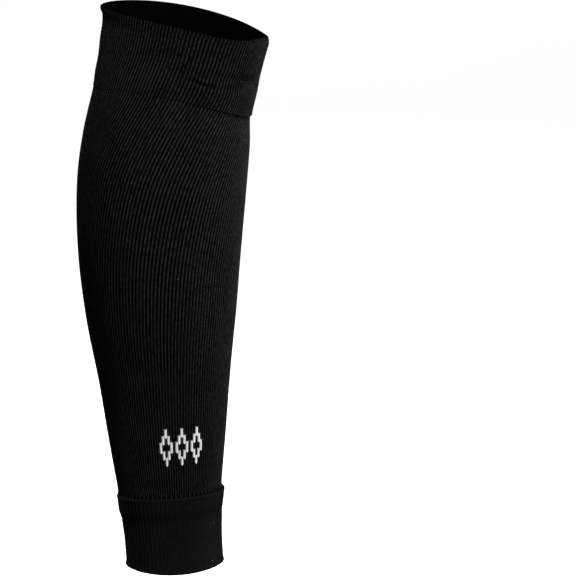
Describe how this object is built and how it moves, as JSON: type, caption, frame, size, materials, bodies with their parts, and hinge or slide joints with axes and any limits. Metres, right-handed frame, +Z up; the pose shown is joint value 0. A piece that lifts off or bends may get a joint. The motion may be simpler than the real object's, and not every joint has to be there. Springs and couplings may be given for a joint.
{
  "type": "football sock sleeve",
  "caption": "Footless rib-knit leg sleeve for football, in worn form, with a turned cuff below the knee and a banded cuff above the ankle.",
  "frame": {"origin": "on the leg's axis at the widest level of the calf, inside the hollow, where the leg holds the sleeve", "axes": "+Z up the leg to the knee, +X to the shin, -Y to the outer side of the leg"},
  "size_m": [0.1277, 0.1172, 0.3768],
  "materials": {
    "cuff_knit": "black double-layer rib knit, dense fine vertical ribs, soft matt with a faint sheen",
    "leg_knit": "black single-layer rib knit, fine vertical ribs wound round the calf, matt, with a small white knitted row of plain lozenges",
    "ankle_knit": "black double-layer two-by-two rib knit, low broad ribs, matt, with small link holes at its top edge"
  },
  "bodies": {
    "root": {"top_cuff": "cuff_knit", "leg_tube": "leg_knit", "ankle_cuff": "ankle_knit"}
  },
  "joints": []
}
